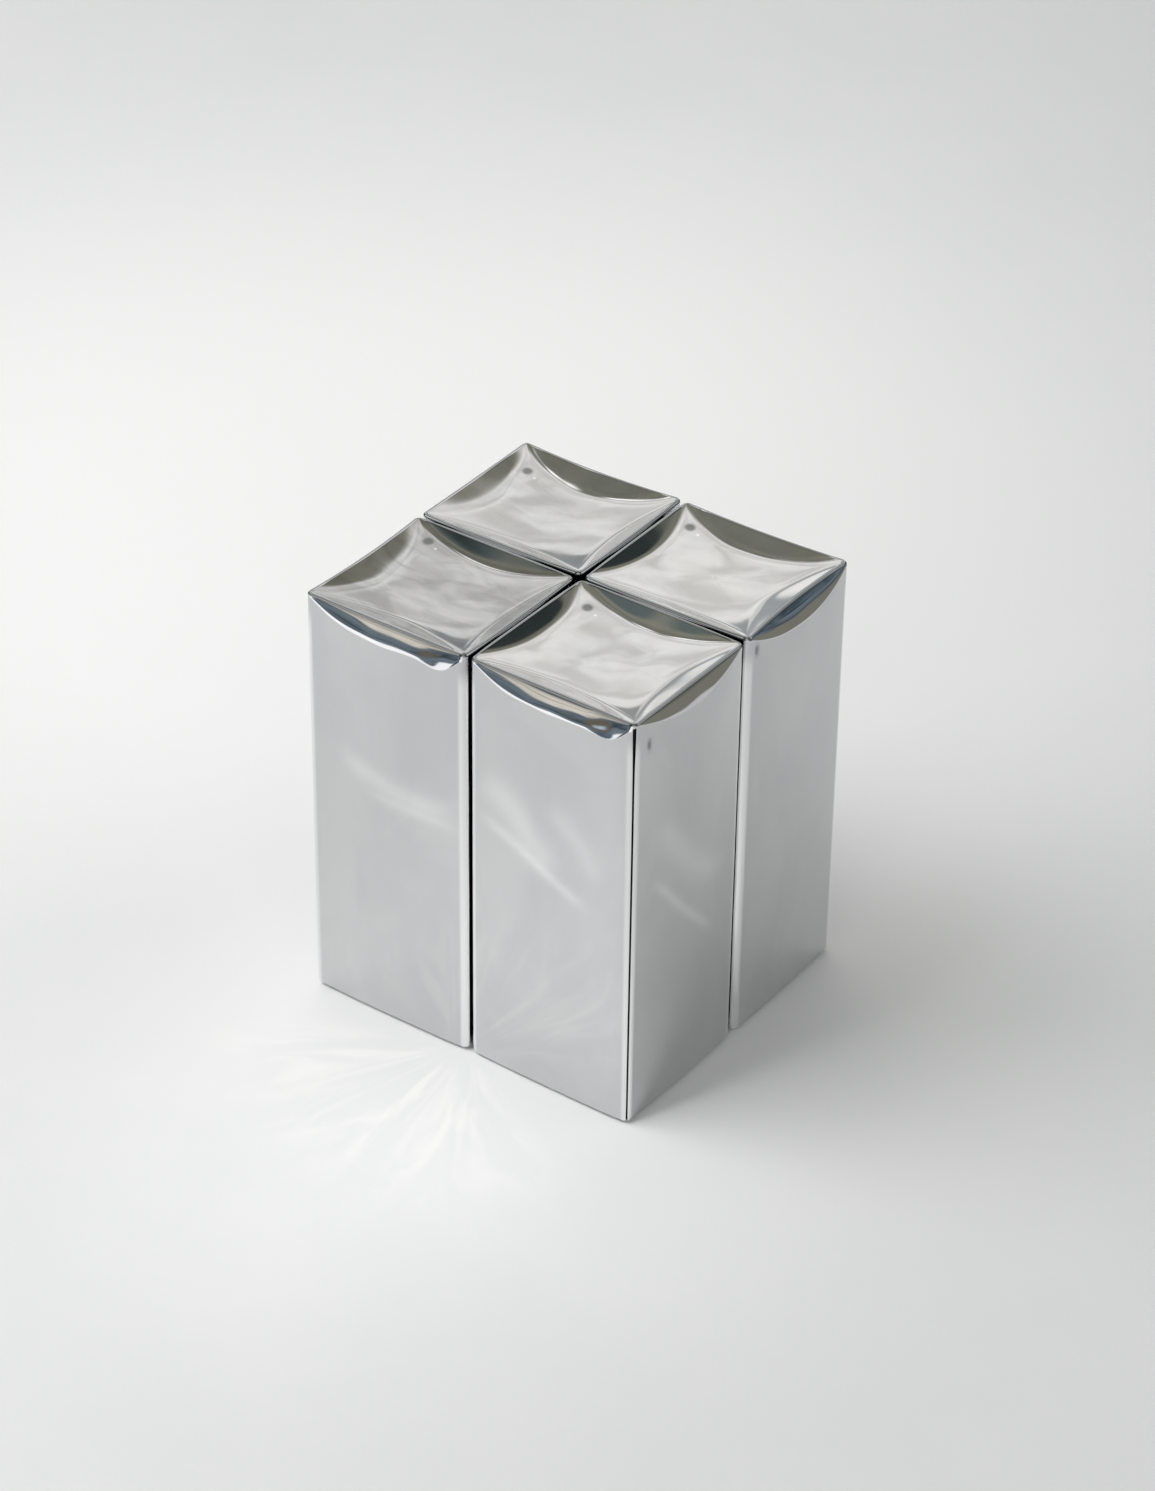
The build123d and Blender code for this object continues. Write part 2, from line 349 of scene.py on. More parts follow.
        for q in np.linspace(0.12, 1, 12):
            facet_ring(1 - (1 - q) ** 1.5)
        for q in np.linspace(0, 1, 15)[1:]:
            upper_ring(q**1.7)
        lowest = HEIGHT - PAD_PROUD - BOTTOM_RADIUS
        for depth in np.linspace(UPPER_END, lowest, 62)[1:]:
            outer_ring(lambda side, t: np.full_like(t, depth))
        for angle in np.linspace(0, math.pi / 2, 7)[1:]:
            inset = BOTTOM_RADIUS * (1 - math.cos(angle))
            depth = lowest + BOTTOM_RADIUS * math.sin(angle)
            rings.append(self.flat_ring(inset, depth, "swollen", 1.0))
        return rings

    def flat_ring(self, inset, depth, form, joint=None):
        """A level ring: swollen as the face is, bowed in as the rim is, or straight."""

        def offset_of(side, t, depths):
            if form == "swollen":
                return self.arc(side, t, depths)
            return -self.bow(side, t) if form == "bowed" else np.zeros_like(t)

        def depth_of(side, t):
            return np.full_like(t, depth)

        return self.ring(inset, depth_of, offset_of, EDGE_RADIUS - inset, joint)

    def dish_depth_at(self, x, y):
        """Depth of the hollow top below the rim: a bowl between four sloping walls."""
        corner_x, corner_y = WIDTH / 2 - BOWL_CORNER, DEPTH / 2 - BOWL_CORNER
        share = (x**2 / corner_x**2 + y**2 / corner_y**2) / 2
        bowl = DISH_DEPTH - (DISH_DEPTH - CORNER_DEPTH) * share
        walls = None
        for side in range(4):
            value, other = (y, x) if side % 2 == 0 else (x, y)
            half_other, half = self.half(side)
            sign = -1 if side in (0, 3) else 1
            t = np.clip(other / half_other, -1, 1)
            start = RIM_LAND + WALL_START_CORNER * np.clip((np.abs(t) - 0.8) / 0.2, 0, 1) ** 2
            slope = WALL_ANGLE + math.radians(WALL_LEANS[side])
            slope = slope + self.wall_waves[side].at(other, 0 * other)
            fall = (half - sign * value - start - self.bow(side, t)) * np.tan(slope)
            walls = fall if walls is None else soft_min(walls, fall, WALL_SOFT)
        wave = self.dish_waves.at(x, y) + self.dish_ripples.at(x, y)
        return soft_min(bowl + wave * smooth((bowl - 1.45) / 0.9), walls, DISH_SOFT)

    def dish_ring(self, base, share):
        """The ring that starts on the base ring and closes to the middle as share goes to 1."""
        flat = base[:, :2] * (1 - share)[:, None]
        return np.column_stack([flat, HEIGHT - self.dish_depth_at(flat[:, 0], flat[:, 1])])

    def dish_crease(self, base):
        """Share of the way to the middle at which the wall turns into the bowl."""
        shares = np.linspace(0.0, 0.45, 226)
        best, bend = np.zeros(len(base)), np.zeros(len(base))
        heights = [self.dish_ring(base, np.full(len(base), share))[:, 2] for share in shares]
        for i in range(1, len(shares) - 1):
            curve = heights[i - 1] - 2 * heights[i] + heights[i + 1]
            better = curve > bend
            bend = np.where(better, curve, bend)
            best = np.where(better, shares[i], best)
        for _ in range(6):
            best = (np.roll(best, 1) + best + np.roll(best, -1)) / 3
        return np.maximum(best, 0.02)


def sleeve_marks(skin, points, count):
    """For every point of the sleeve, how much it shows of each kind of mark.

    edge is the light upright edges, joint the painted shade in the sheet joint, the streak mark the
    painted streaks of reflected light, rim the painted dark reflections along the rim and dent the
    painted shade in the pressed marks.
    """
    edge, joint = np.zeros(count), np.zeros(count)
    place, layout = 0, []
    for side in range(4):
        length, _ = skin.half(side)
        t = skin.side_places(side, 0, EDGE_RADIUS)
        from_end = length * (1 - np.abs(t))
        edge[place : place + len(t)] = smooth((1.8 - from_end) / 0.7)
        layout.append((slice(place, place + len(t)), t * length))
        place += len(t)
        sunk = skin.joint_places(50.0)[1] if side == 1 else np.zeros(CORNER_STEPS - 1)
        edge[place : place + len(sunk)] = 1.0
        joint[place : place + len(sunk)] = smooth(sunk / 0.2)
        place += len(sunk)
    rows = len(points) // count
    depth = HEIGHT - points[:, 2].reshape(rows, count)
    rim = np.zeros((rows, count))
    rim[1 : 1 + len(RIM_DARK_REFLECTION)] = np.array(RIM_DARK_REFLECTION)[:, None]
    edge = np.tile(edge, (rows, 1)) * smooth((depth - 3.0) / 5.0)
    joint = np.tile(joint, (rows, 1)) * (depth > JOINT_TOP)
    stroke = np.zeros((rows, count))
    for block, side, u_1, d_1, u_2, d_2, width, strength in PAINTED_STREAKS:
        if block != skin.block:
            continue
        part, u = layout[side]
        d = depth[:, part]
        along_u, along_d = u_2 - u_1, d_2 - d_1
        reach = math.hypot(along_u, along_d)
        share = ((u - u_1) * along_u + (d - d_1) * along_d) / reach**2
        away = ((u - u_1) * along_d - (d - d_1) * along_u) / reach
        away = away + 0.5 * width * np.sin(share * 5.0 + u_1)
        value = np.exp(-((away / width) ** 2))
        value = value * smooth(share / 0.25) * smooth((1.05 - share) / 0.25)
        stroke[:, part] += strength * value
    dent = np.zeros((rows, count))
    for side, (part, u) in enumerate(layout):
        dent[:, part] = skin.dent(side, u, depth[:, part]) / DENT_SINK
    dent[-HEM_RINGS:] = 0.0
    dent = np.clip(dent * 1.4, 0, 0.8)
    marks = {"edge": edge, "joint": joint, "stroke": stroke, "rim": rim, "dent": dent}
    return {name: values.ravel() for name, values in marks.items()}


def close_rings(rings, loop):
    """Quads between neighbouring rings, and from the last back to the first where loop is set."""
    count = len(rings[0])
    faces = []
    pairs = [(i, i + 1) for i in range(len(rings) - 1)]
    if loop:
        pairs.append((len(rings) - 1, 0))
    for a, b in pairs:
        for j in range(count):
            k = (j + 1) % count
            faces.append((a * count + j, b * count + j, b * count + k, a * count + k))
    return faces


def sleeve_mesh(skin):
    """The outside, the rolled hem and its lip, and the inside of the sheet up to the dish."""
    rings = skin.outer_rings()
    for inset, height in (
        (HEM_WIDTH, PAD_PROUD),
        (HEM_WIDTH, LIP_BOTTOM),
        (LIP_WIDTH, LIP_BOTTOM),
        (LIP_WIDTH, LIP_TOP),
    ):
        rings.append(skin.flat_ring(inset, HEIGHT - height, "straight", 0.0))
    for depth in np.linspace(HEIGHT - LIP_TOP, INSIDE_TOP, 12):
        rings.append(skin.flat_ring(SHEET, depth, "swollen", 0.0))
    edge = skin.flat_ring(SHEET, 1.0, "bowed", 0.0)
    edge[:, 2] = HEIGHT - skin.dish_depth_at(edge[:, 0], edge[:, 1])
    rings.append(edge)
    points = np.vstack(rings)
    return points, close_rings(rings, True), sleeve_marks(skin, points, len(edge))


def top_mesh(skin):
    """The dished top with its skirt, as a closed sheet of one thickness."""
    inset = SHEET + SEAM
    edge = skin.flat_ring(inset, 1.0, "bowed")
    crease = skin.dish_crease(edge)
    rings = [skin.dish_ring(edge, np.zeros(len(edge)))]
    for q in np.linspace(0, 1, 13)[1:]:
        rings.append(skin.dish_ring(edge, crease * (1 - (1 - q) ** 1.5)))
    for q in np.linspace(0, 1, 34)[1:-1]:
        rings.append(skin.dish_ring(edge, crease + (0.97 - crease) * q**1.6))
    count = len(edge)
    under = []
    inner = skin.flat_ring(inset + SHEET, 1.0, "bowed")
    for share in np.linspace(0.95, 0, 14):
        ring = skin.dish_ring(inner, np.full(count, share))
        ring[:, 2] -= SHEET
        under.append(ring)
    under.append(skin.flat_ring(inset + SHEET, PANEL_SKIRT, "bowed"))
    under.append(skin.flat_ring(inset, PANEL_SKIRT, "bowed"))
    # From the middle outwards over the top, down the skirt, and back to the middle underneath.
    order = rings[::-1] + under[::-1]
    faces = close_rings(order, False)
    depth = float(skin.dish_depth_at(np.zeros(1), np.zeros(1))[0])
    middle = np.array([[0.0, 0.0, HEIGHT - depth]])
    points = np.vstack([*order, middle, middle - [[0, 0, SHEET]]])
    last = (len(order) - 1) * count
    centre = len(points) - 2
    for j in range(count):
        k = (j + 1) % count
        faces.append((centre, j, k))
        faces.append((centre + 1, last + k, last + j))
    return points, faces, {"dull": np.full(len(points), DULLNESS[skin.block])}


def add_skin(block, piece, points, faces, marks):
    """Sets a skin where its CAD piece stands, on the same body."""
    side_x, side_y, turn = BLOCKS[block]
    points = points * [side_x, side_y, 1] * MM
    angle = math.radians(turn)
    spin = np.array([[math.cos(angle), math.sin(angle)], [-math.sin(angle), math.cos(angle)]])
    points[:, :2] = points[:, :2] @ spin
    low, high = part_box(f"{block}_core")
    axis = (Vector(low) + Vector(high)) / 2
    points[:, 0] += axis.x
    points[:, 1] += axis.y
    if side_x * side_y < 0:
        faces = [face[::-1] for face in faces]
    mesh = bpy.data.meshes.new(f"{block}_{piece}_skin")
    mesh.from_pydata(points.tolist(), [], faces)
    mesh.polygons.foreach_set("use_smooth", [True] * len(mesh.polygons))
    mesh.set_sharp_from_angle(angle=math.radians(40))
    for name, values in marks.items():
        mark = mesh.attributes.new(name, "FLOAT", "POINT")
        mark.data.foreach_set("value", values.astype(np.float32))
    mesh.update()
    skin = bpy.data.objects.new(f"{block}_{piece}_skin", mesh)
    bpy.context.scene.collection.objects.link(skin)
    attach(skin, f"{block}_block")
    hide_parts(f"{block}_{piece}")
    return skin


class Graph:
    """Short names for building a node tree."""

    def __init__(self, tree):
        self.tree = tree

    def node(self, kind, **values):
        made = self.tree.nodes.new(kind)
        for name, value in values.items():
            setattr(made, name, value)
        return made

    def put(self, socket, value):
        if isinstance(value, bpy.types.NodeSocket):
            self.tree.links.new(value, socket)
        else:
            socket.default_value = value

    def math(self, operation, *values):
        made = self.node("ShaderNodeMath", operation=operation)
        for socket, value in zip(made.inputs, values):
            self.put(socket, value)
        return made.outputs[0]

    def ramp(self, value, low, high, to_low=0.0, to_high=1.0):
        """Smooth step from to_low at low to to_high at high."""
        made = self.node("ShaderNodeMapRange", interpolation_type="SMOOTHSTEP")
        ends = {"From Min": low, "From Max": high, "To Min": to_low, "To Max": to_high}
        for name, number in ends.items():
            self.put(made.inputs[name], number)
        self.put(made.inputs["Value"], value)
        return made.outputs["Result"]

    def band(self, value, low, high, soft):
        """1 between low and high, fading to 0 over soft beyond each."""
        up = self.ramp(value, low - soft, low)
        down = self.ramp(value, high, high + soft, 1.0, 0.0)
        return self.math("MULTIPLY", up, down)

    def mix(self, share, a, b):
        made = self.node("ShaderNodeMix", data_type="RGBA")
        self.put(made.inputs["Factor"], share)
        colours = [s for s in made.inputs if s.type == "RGBA"]
        for socket, value in zip(colours, (a, b)):
            self.put(socket, value if isinstance(value, bpy.types.NodeSocket) else (*value, 1.0))
        return [s for s in made.outputs if s.type == "RGBA"][0]

    def noise(self, vector, scale, detail=3.0, roughness=0.5, distortion=0.0):
        made = self.node("ShaderNodeTexNoise")
        self.put(made.inputs["Vector"], vector)
        made.inputs["Scale"].default_value = scale
        made.inputs["Detail"].default_value = detail
        made.inputs["Roughness"].default_value = roughness
        made.inputs["Distortion"].default_value = distortion
        return made.outputs["Fac"]

    def stretch(self, vector, scale):
        made = self.node("ShaderNodeMapping")
        self.put(made.inputs["Vector"], vector)
        made.inputs["Scale"].default_value = scale
        return made.outputs["Vector"]

    def mark(self, name):
        return self.node("ShaderNodeAttribute", attribute_name=name).outputs["Fac"]

    def disc(self, direction, azimuth, elevation, inner, outer):
        """1 within inner degrees of a direction, fading to 0 at outer degrees."""
        made = self.node("ShaderNodeVectorMath", operation="DOT_PRODUCT")
        self.put(made.inputs[0], direction)
        made.inputs[1].default_value = toward(azimuth, elevation, 1.0)
        angle = self.math("MULTIPLY", self.math("ARCCOSINE", made.outputs["Value"]), 180 / math.pi)
        return self.ramp(angle, inner, outer, 1.0, 0.0)

    def distance(self, x, y, at_x, at_y):
        """How far a place is from a point in plan."""
        return self.length(self.math("SUBTRACT", x, at_x), self.math("SUBTRACT", y, at_y))

    def length(self, x, y):
        """The length of a vector in plan."""
        squares = self.math("ADD", self.math("POWER", x, 2.0), self.math("POWER", y, 2.0))
        return self.math("SQRT", squares)

    def split(self, vector):
        made = self.node("ShaderNodeSeparateXYZ")
        self.put(made.inputs[0], vector)
        return made.outputs

    def bump(self, height, strength, distance):
        made = self.node("ShaderNodeBump")
        self.put(made.inputs["Height"], height)
        made.inputs["Strength"].default_value = strength
        made.inputs["Distance"].default_value = distance
        return made.outputs["Normal"]

    def finish(self, shader, grain, dark, light, rough, strength, distance):
        """Colour, roughness and bumps of a plain finish, all from one grain."""
        self.put(shader.inputs["Base Color"], self.mix(grain, dark, light))
        self.put(shader.inputs["Roughness"], self.ramp(grain, 0.3, 0.7, *rough))
        self.put(shader.inputs["Normal"], self.bump(grain, strength, distance))


def new_material(name):
    """A material, its graph, its shader and the place on the object in metres."""
    made = bpy.data.materials.new(name)
    made.use_nodes = True
    graph = Graph(made.node_tree)
    shader = made.node_tree.nodes["Principled BSDF"]
    place = graph.node("ShaderNodeTexCoord").outputs["Object"]
    return made, graph, shader, place


def mirror_metal(name, sleeve):
    """Polished sheet: a mirror with faint haze, buffing lines, marks and a few tiny pits."""
    made, g, shader, place = new_material(name)
    shader.inputs["Metallic"].default_value = 1.0
    haze = g.ramp(g.noise(g.stretch(place, (1.0, 1.0, 0.55)), 48.0, 4.0, 0.6, 0.6), 0.3, 0.7)
    if sleeve:
        colour = g.mix(haze, (0.615, 0.615, 0.628), (0.668, 0.668, 0.678))
        # Painted reflection: faint streaks of reflected light laid into the colour.
        colour = g.mix(g.math("MULTIPLY", g.mark("stroke"), 0.42), colour, (0.97, 0.97, 0.975))
        colour = g.mix(g.mark("edge"), colour, (0.87, 0.87, 0.875))
        # Painted reflection: the rim's bead is darkened in rings to paint the dark lines it
        # reflects.
        colour = g.mix(g.math("MULTIPLY", g.mark("rim"), 0.9), colour, (0.17, 0.18, 0.185))
        # Painted shade in the groove of the sheet joint, near black like the dark core behind it.
        colour = g.mix(g.mark("joint"), colour, (0.012, 0.014, 0.015))
        # Painted shade in the pressed marks.
        colour = g.mix(g.mark("dent"), colour, (0.20, 0.21, 0.22))
    else:
        colour = g.mix(haze, (0.60, 0.595, 0.585), (0.70, 0.70, 0.695))
        warm = g.ramp(g.noise(place, 75.0, 3.0, 0.55, 0.8), 0.40, 0.66)
        colour = g.mix(warm, colour, (0.66, 0.65, 0.63))
        stains = g.noise(g.stretch(place, (1.0, 2.2, 1.0)), 60.0, 3.0, 0.55, 1.4)
        tarnish = g.math("MULTIPLY", g.mark("dull"), g.ramp(stains, 0.35, 0.62, 1.0, 0.55))
        colour = g.mix(tarnish, colour, (0.40, 0.40, 0.40))
        x, y, _ = g.split(place)
        # Painted reflections of the camera: a dark spot on each top, and a painted glint beside it.
        for reflection_x, reflection_y in PAINTED_REFLECTIONS.values():
            away = g.distance(x, y, reflection_x * MM, reflection_y * MM)
            colour = g.mix(g.ramp(away, 0.0006, 0.0016, 0.85, 0.0), colour, (0.16, 0.17, 0.16))
            glint_x, glint_y = reflection_x + GLINT_OFF[0], reflection_y + GLINT_OFF[1]
            away = g.distance(x, y, glint_x * MM, glint_y * MM)
            colour = g.mix(g.ramp(away, 0.0001, 0.0005, 0.7, 0.0), colour, (0.98, 0.98, 0.98))
    g.put(shader.inputs["Base Color"], colour)
    lines = g.noise(g.stretch(place, (1.0, 1.0, 0.02)), 2600.0, 2.0, 0.6)
    cloud = g.noise(place, 150.0, 3.0, 0.6)
    worn = g.ramp(cloud, 0.35, 0.75, 0.04, 0.09)
    rough = g.math("ADD", worn, g.ramp(lines, 0.45, 0.8, 0.0, 0.03))
    g.put(shader.inputs["Roughness"], rough)
    pits = g.ramp(g.noise(place, 1400.0, 2.0, 0.5), 0.72, 0.80)
    height = g.math("ADD", g.math("MULTIPLY", lines, 0.3), pits)
    g.put(shader.inputs["Normal"], g.bump(height, 0.02, 0.0001))
    return made


CARRIERS = ("magnet_carrier_x", "magnet_carrier_y")
FOAM = ("dish_foam",)
# The finishes of the pieces carried over from the CAD, and the pieces that have each: the darkest
# and lightest colour, the lowest and highest roughness, and the scale of the grain.
METALS = {
    "base_steel": (("base_plate",), (0.42, 0.43, 0.44), (0.6, 0.61, 0.62), (0.25, 0.45), 900),
    "screw_steel": (("base_screws",), (0.16, 0.16, 0.17), (0.3, 0.3, 0.31), (0.3, 0.5), 1500),
    "ballast_iron": (("ballast",), (0.12, 0.12, 0.13), (0.24, 0.24, 0.25), (0.5, 0.75), 500),
    "magnet_nickel": (("magnets",), (0.66, 0.64, 0.6), (0.78, 0.76, 0.72), (0.12, 0.22), 700),
}
# Rubber, moulded plastic and foam have the strength of their bumps as well.
SOFT_STUFF = {
    "foot_rubber": (("foot_pads",), (0.02, 0.02, 0.02), (0.05, 0.05, 0.05), (0.7, 0.9), 1200, 0.4),
    "core_plastic": (("core",), (0.06, 0.06, 0.07), (0.1, 0.1, 0.11), (0.45, 0.65), 1500, 0.3),
    "damping_foam": (FOAM, (0.04, 0.04, 0.045), (0.13, 0.13, 0.14), (0.85, 1.0), 1800, 0.8),
    "carrier_plastic": (CARRIERS, (0.62, 0.61, 0.58), (0.74, 0.73, 0.7), (0.4, 0.6), 1500, 0.3),
}


def paint_pieces(pieces, material):
    """Gives the same pieces of all four blocks one material."""
    for block in BLOCKS:
        for piece in pieces:
            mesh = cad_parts[f"{block}_{piece}"].data
            mesh.materials.clear()
            mesh.materials.append(material)


def paint_nodes():
    """The materials of the pieces carried over from the CAD."""
    for name, (pieces, dark, light, rough, scale) in METALS.items():
        made, g, shader, place = new_material(name)
        shader.inputs["Metallic"].default_value = 1.0
        grain = g.noise(g.stretch(place, (1.0, 0.06, 1.0)), scale, 4.0, 0.65)
        g.finish(shader, grain, dark, light, rough, 0.25, 0.0002)
        paint_pieces(pieces, made)
    for name, (pieces, dark, light, rough, scale, strength) in SOFT_STUFF.items():
        made, g, shader, place = new_material(name)
        g.finish(shader, g.noise(place, scale, 5.0, 0.6), dark, light, rough, strength, 0.0003)
        paint_pieces(pieces, made)


def build_blocks():
    """The skins of the four blocks, in place of their sleeves and top panels."""
    kinds = (
        ("sleeve", sleeve_mesh, "mirror_sleeve", mirror_metal("mirror_sleeve", True)),
        ("top_panel", top_mesh, "mirror_top", mirror_metal("mirror_top", False)),
    )
    for seed, block in enumerate(BLOCKS):
        skin = BlockSkin(block, seed + 3)
        for piece, make, slot, metal in kinds:
            made = add_skin(block, piece, *make(skin))
            made.data.materials.append(metal)


# The studio. Metres.
PAPER_REACH = 0.24  # beyond this the metal sees the room's own far paper
FLOOR_REACH = 9.0
FAN_X, FAN_Y = -0.002, -0.036  # the foot of the gap between the two near blocks


def annulus(name, inner, outer, sections=128):
    """A flat ring on the table, or a full disc if inner is 0."""
    angles = [2 * math.pi * i / sections for i in range(sections)]
    pairs = [(i, (i + 1) % sections) for i in range(sections)]
    points = [(outer * math.cos(angle), outer * math.sin(angle), 0.0) for angle in angles]
    if inner == 0:
        points.append((0.0, 0.0, 0.0))
        faces = [(sections, i, j) for i, j in pairs]
    else:
        points += [(inner * math.cos(angle), inner * math.sin(angle), 0.0) for angle in angles]
        faces = [(sections + i, i, j, sections + j) for i, j in pairs]
    mesh = bpy.data.meshes.new(name)
    mesh.from_pydata(points, [], faces)
    made = bpy.data.objects.new(name, mesh)
    bpy.context.scene.collection.objects.link(made)
    return made


def paper():
    """Pale paper with a soft mottle and fine fibres, painted greyer to the right and far away as
    painted shade, with a painted pool of light on the left behind the object.
    """
    made, g, shader, place = new_material("paper")
    x, y, _ = g.split(place)
    # Painted shade: the paper is painted greyer to the right and far away, as the light falls off.
    rightwards = g.math("ADD", g.math("MULTIPLY", x, 0.816), g.math("MULTIPLY", y, 0.578))
    away = g.math("ADD", g.math("MULTIPLY", x, -0.578), g.math("MULTIPLY", y, 0.816))
    across = g.math("SUBTRACT", rightwards, g.math("MULTIPLY", away, 0.3))
    far = g.math("MULTIPLY", g.ramp(away, 0.2, 0.6), 0.75)
    shade = g.math("ADD", g.ramp(across, -0.1, 0.24), far)
    mottle = g.ramp(g.noise(place, 16.0, 5.0, 0.6), 0.3, 0.7)
    colour = g.mix(mottle, (0.82, 0.825, 0.828), (0.845, 0.847, 0.848))
    # A painted pool of light on the paper behind the object on the left.
    bright = g.ramp(g.distance(x, y, -0.15, 0.14), 0.06, 0.28, 1.0, 0.0)
    colour = g.mix(bright, colour, (0.945, 0.945, 0.945))
    colour = g.mix(g.math("MULTIPLY", shade, 0.5), colour, (0.60, 0.605, 0.61))

    # Fine rays of light fan out over the paper from the foot of the gap.
    turn = g.math("ARCTAN2", g.math("SUBTRACT", y, FAN_Y), g.math("SUBTRACT", x, FAN_X))
    out = g.distance(x, y, FAN_X, FAN_Y)
    polar = g.node("ShaderNodeCombineXYZ")
    g.put(polar.inputs[0], g.math("MULTIPLY", turn, 1.5))
    g.put(polar.inputs[1], g.math("MULTIPLY", out, 12.0))
    rays = g.ramp(g.noise(polar.outputs[0], 2.6, 3.0, 0.6, 0.5), 0.44, 0.66)
    reach = g.math("MULTIPLY", g.ramp(out, 0.004, 0.012), g.ramp(out, 0.026, 0.06, 1.0, 0.0))
    for share in (reach, g.band(turn, -2.5, -0.8, 0.4), 0.42):
        rays = g.math("MULTIPLY", rays, share)
    colour = g.mix(rays, colour, (1.0, 0.995, 0.975))
    g.put(shader.inputs["Base Color"], colour)
    shader.inputs["Roughness"].default_value = 0.9
    shader.inputs["Specular IOR Level"].default_value = 0.2
    fibre = g.noise(place, 900.0, 4.0, 0.7)
    g.put(shader.inputs["Normal"], g.bump(fibre, 0.12, 0.0004))
    return made


def build_floor():
    """The paper, in two parts; the metal shows only the near one."""
    finish = paper()
    sheet = annulus("paper_sheet", 0.0, PAPER_REACH)
    beyond = annulus("paper_beyond", PAPER_REACH, FLOOR_REACH)
    beyond.visible_glossy = False
    for part in (sheet, beyond):
        part.data.materials.append(finish)


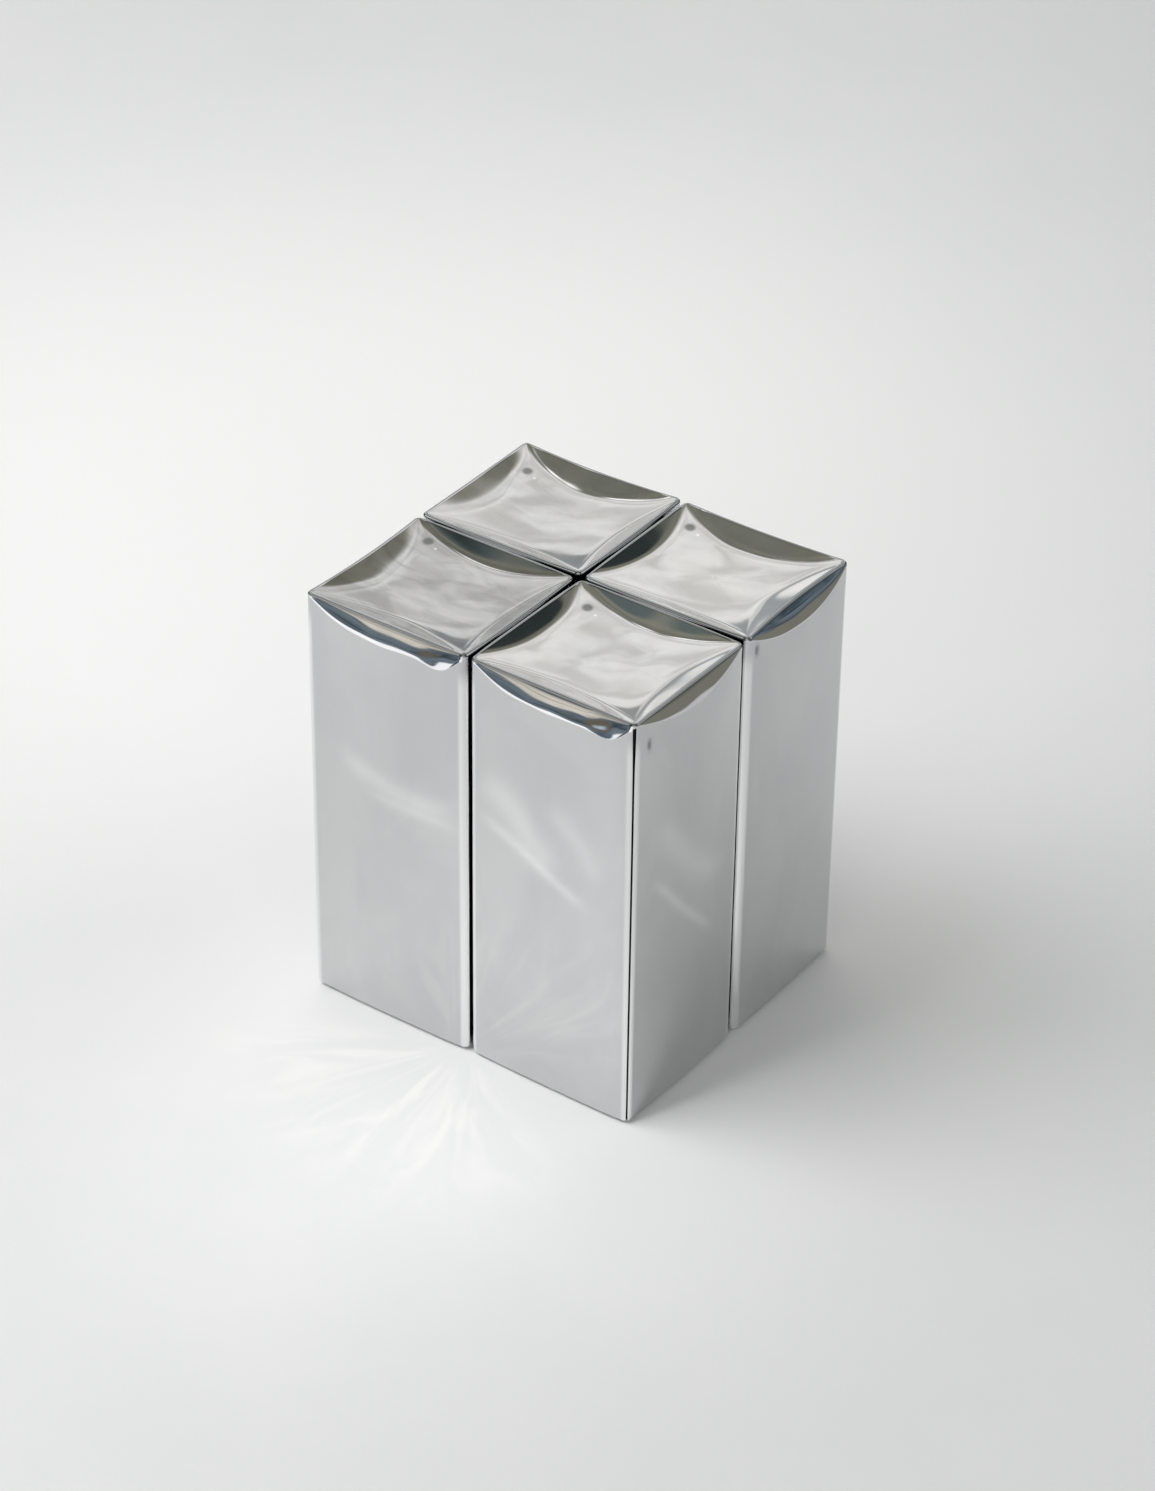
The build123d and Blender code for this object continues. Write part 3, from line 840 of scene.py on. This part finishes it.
def build_room():
    """The room round the paper, by direction, as the metal shows it."""
    world = bpy.data.worlds.new("studio")
    bpy.context.scene.world = world
    world.use_nodes = True
    tree = world.node_tree
    g = Graph(tree)
    direction = g.node("ShaderNodeTexCoord").outputs["Generated"]
    x, y, z = g.split(direction)
    elevation = g.math("MULTIPLY", g.math("ARCSINE", z), 180 / math.pi)
    azimuth = g.math("MULTIPLY", g.math("ARCTAN2", x, y), 180 / math.pi)

    def patch(base, at_azimuth, at_elevation, inner, outer, paint):
        """The base colour with a round soft-edged patch of another in one direction."""
        return g.mix(g.disc(direction, at_azimuth, at_elevation, inner, outer), base, paint)

    def turned(by, reach):
        """The azimuth turned by some degrees and wrapped to within reach of 0."""
        return g.math("WRAP", g.math("ADD", azimuth, by), reach, -reach)

    # Four pale softboxes a quarter turn apart, each a cone of light.
    lateral = g.math("MULTIPLY", turned(35.0, 45.0), g.math("COSINE", g.math("ARCSINE", z)))
    above = g.math("MAXIMUM", g.math("SUBTRACT", elevation, 32.0), 0.0)
    reach = g.length(lateral, above)
    reach = g.math("ADD", reach, g.math("MULTIPLY", g.noise(direction, 7.0, 2.0), 4.0))
    box = g.ramp(reach, 23.5, 28.5, 1.0, 0.0)

    cloud = g.noise(direction, 9.0, 4.0, 0.6, 0.6)
    pale = g.mix(g.ramp(cloud, 0.36, 0.62), (0.84, 0.835, 0.82), (1.13, 1.13, 1.13))
    patches = g.noise(direction, 8.0, 2.0, 0.45, 0.4)
    olive = g.mix(g.ramp(patches, 0.35, 0.6), (0.22, 0.225, 0.19), (0.30, 0.30, 0.25))
    teal = g.mix(g.ramp(patches, 0.52, 0.62), (0.035, 0.046, 0.046), (0.14, 0.175, 0.175))
    spread = g.math("ABSOLUTE", turned(37.5, 90.0))
    dim = g.mix(g.ramp(spread, 39.4, 41.6), olive, teal)
    colour = g.mix(box, dim, pale)

    # Two small hot lights; low in the two softboxes ahead and behind, a bright and a grey strip.
    for light in (-60.0, 120.0):
        colour = patch(colour, light, 54.0, 0.8, 2.8, (1.7, 1.7, 1.7))
    front = g.math("ABSOLUTE", turned(35.0, 90.0))
    ahead = g.ramp(front, 26.0, 34.0, 1.0, 0.0)
    for strip, strip_colour in (
        (g.band(elevation, 17.4, 18.0, 1.0), (1.08, 1.08, 1.08)),
        (g.band(elevation, 7.5, 10.0, 1.5), (0.44, 0.47, 0.49)),
    ):
        colour = g.mix(g.math("MULTIPLY", strip, ahead), colour, strip_colour)
    colour = patch(colour, -36.5, 13.0, 2.6, 3.9, (0.40, 0.42, 0.43))

    # To the sides the room is dark and blue low down, with patches of other colours.
    side = g.ramp(front, 34.0, 46.0)
    low = g.ramp(elevation, 14.0, 18.0, 1.0, 0.0)
    streaks = g.noise(g.stretch(direction, (1.0, 1.0, 2.5)), 7.0, 3.0, 0.6, 0.5)
    shade = g.mix(g.ramp(streaks, 0.35, 0.6), (0.03, 0.045, 0.06), (0.20, 0.25, 0.29))
    shade = patch(shade, -158.5, -6.0, 5.0, 8.5, (0.17, 0.155, 0.12))
    fleck = g.ramp(g.noise(direction, 26.0, 3.0, 0.6, 1.0), 0.35, 0.6, 0.45, 1.0)
    cream = g.disc(direction, -150.5, 5.0, 5.2, 7.0)
    shade = g.mix(g.math("MULTIPLY", cream, fleck), shade, (0.98, 0.92, 0.79))
    shade = patch(shade, -156.5, -8.0, 1.3, 2.4, (0.62, 0.72, 0.84))
    shade = patch(shade, -158.5, -15.0, 0.9, 1.8, (0.52, 0.60, 0.70))
    shade = patch(shade, 44.0, -8.0, 8.0, 11.0, (0.25, 0.25, 0.21))
    shade = patch(shade, 58.0, -9.0, 3.0, 6.0, (0.52, 0.58, 0.60))
    shade = patch(shade, 61.0, 0.0, 1.5, 3.5, (0.52, 0.58, 0.60))
    colour = g.mix(g.math("MULTIPLY", low, side), colour, shade)

    # Below the horizon lies the far part of the paper, brightest on the left where the light falls.
    # slide is how many degrees lower its far edge lies than elsewhere.
    slide = g.math("MAXIMUM", g.math("MULTIPLY", g.math("ADD", azimuth, 138.0), -0.3), 0.0)
    steep = g.math("MAXIMUM", g.math("MULTIPLY", g.math("ADD", azimuth, 152.0), -3.2), 0.0)
    slide = g.math("MULTIPLY", g.math("ADD", slide, steep), g.ramp(azimuth, -180.0, -172.0))
    behind = g.math("MULTIPLY", g.disc(direction, 45.0, -10.0, 30.0, 40.0), 4.5)
    slide = g.math("ADD", slide, behind)
    under = g.ramp(g.math("ADD", elevation, slide), -11.0, -9.6, 1.0, 0.0)
    leftwards = g.disc(direction, -144.0, -20.0, 45.0, 75.0)
    lit = g.mix(leftwards, (0.72, 0.72, 0.73), (1.42, 1.42, 1.42))
    colour = g.mix(under, colour, lit)
    background = tree.nodes["Background"]
    g.put(background.inputs["Color"], colour)
    background.inputs["Strength"].default_value = 1.0


def toward(azimuth, elevation, distance):
    """A point at a distance in a direction given in degrees, azimuth from +Y towards +X."""
    a, e = math.radians(azimuth), math.radians(elevation)
    return Vector((math.sin(a) * math.cos(e), math.cos(a) * math.cos(e), math.sin(e))) * distance


def place_lamp(lamp, power, aim, offset):
    """A lamp that shines at a point from an offset and doesn't show in the metal."""
    lamp.energy = power
    made = bpy.data.objects.new(lamp.name, lamp)
    made.location = aim + offset
    made.rotation_mode = "QUATERNION"
    made.rotation_quaternion = (-offset).to_track_quat("-Z", "Y")
    made.visible_glossy = False
    bpy.context.scene.collection.objects.link(made)


def build_lamps():
    """Lamps that light the paper; the metal sees the room's softboxes instead."""
    for name, offset, size, power in (
        ("key_softbox", toward(-128.0, 52.0, 1.4), 1.0, 8.2),
        ("top_softbox", toward(-100.0, 70.0, 1.5), 1.2, 5.2),
    ):
        lamp = bpy.data.lights.new(name, "AREA")
        lamp.size = size
        place_lamp(lamp, power, Vector((0.0, 0.0, 0.0)), offset)
    # The light that the two near faces throw on the paper in front of them.
    glow = bpy.data.lights.new("thrown_light", "SPOT")
    glow.spot_size = math.radians(15.5)
    glow.spot_blend = 1.0
    glow.shadow_soft_size = 0.05
    place_lamp(glow, 4.3, Vector((0.017, -0.048, 0.0)), toward(-160.0, 58.0, 0.6))


def build_camera():
    """Where the object was seen from: azimuth and height over the table, distance, and the lens."""
    yaw, pitch, roll = (math.radians(v) for v in (35.358, 34.042, 0.721))
    distance = 0.9399
    aim = Vector((-0.00668, 0.00957, 0.049))
    frame_height, focal = 1491.0, 4481.0
    level = math.cos(pitch)
    back = Vector((math.sin(yaw) * level, -math.cos(yaw) * level, math.sin(pitch)))
    right = (-back).cross(Vector((0, 0, 1))).normalized()
    up = right.cross(-back)
    across = right * math.cos(roll) + up * math.sin(roll)
    over = up * math.cos(roll) - right * math.sin(roll)
    camera = bpy.data.cameras.new("camera")
    camera.sensor_fit = "VERTICAL"
    camera.sensor_height = 36.0
    camera.lens = focal / frame_height * camera.sensor_height
    camera.clip_start, camera.clip_end = 0.01, 30.0
    made = bpy.data.objects.new("camera", camera)
    bpy.context.scene.collection.objects.link(made)
    turn = Matrix((across, over, back)).transposed()
    made.matrix_world = Matrix.Translation(aim + back * distance) @ turn.to_4x4()
    bpy.context.scene.camera = made


build_blocks()
paint_nodes()
build_floor()
build_room()
build_lamps()
build_camera()
bpy.context.scene.view_settings.view_transform = "Standard"
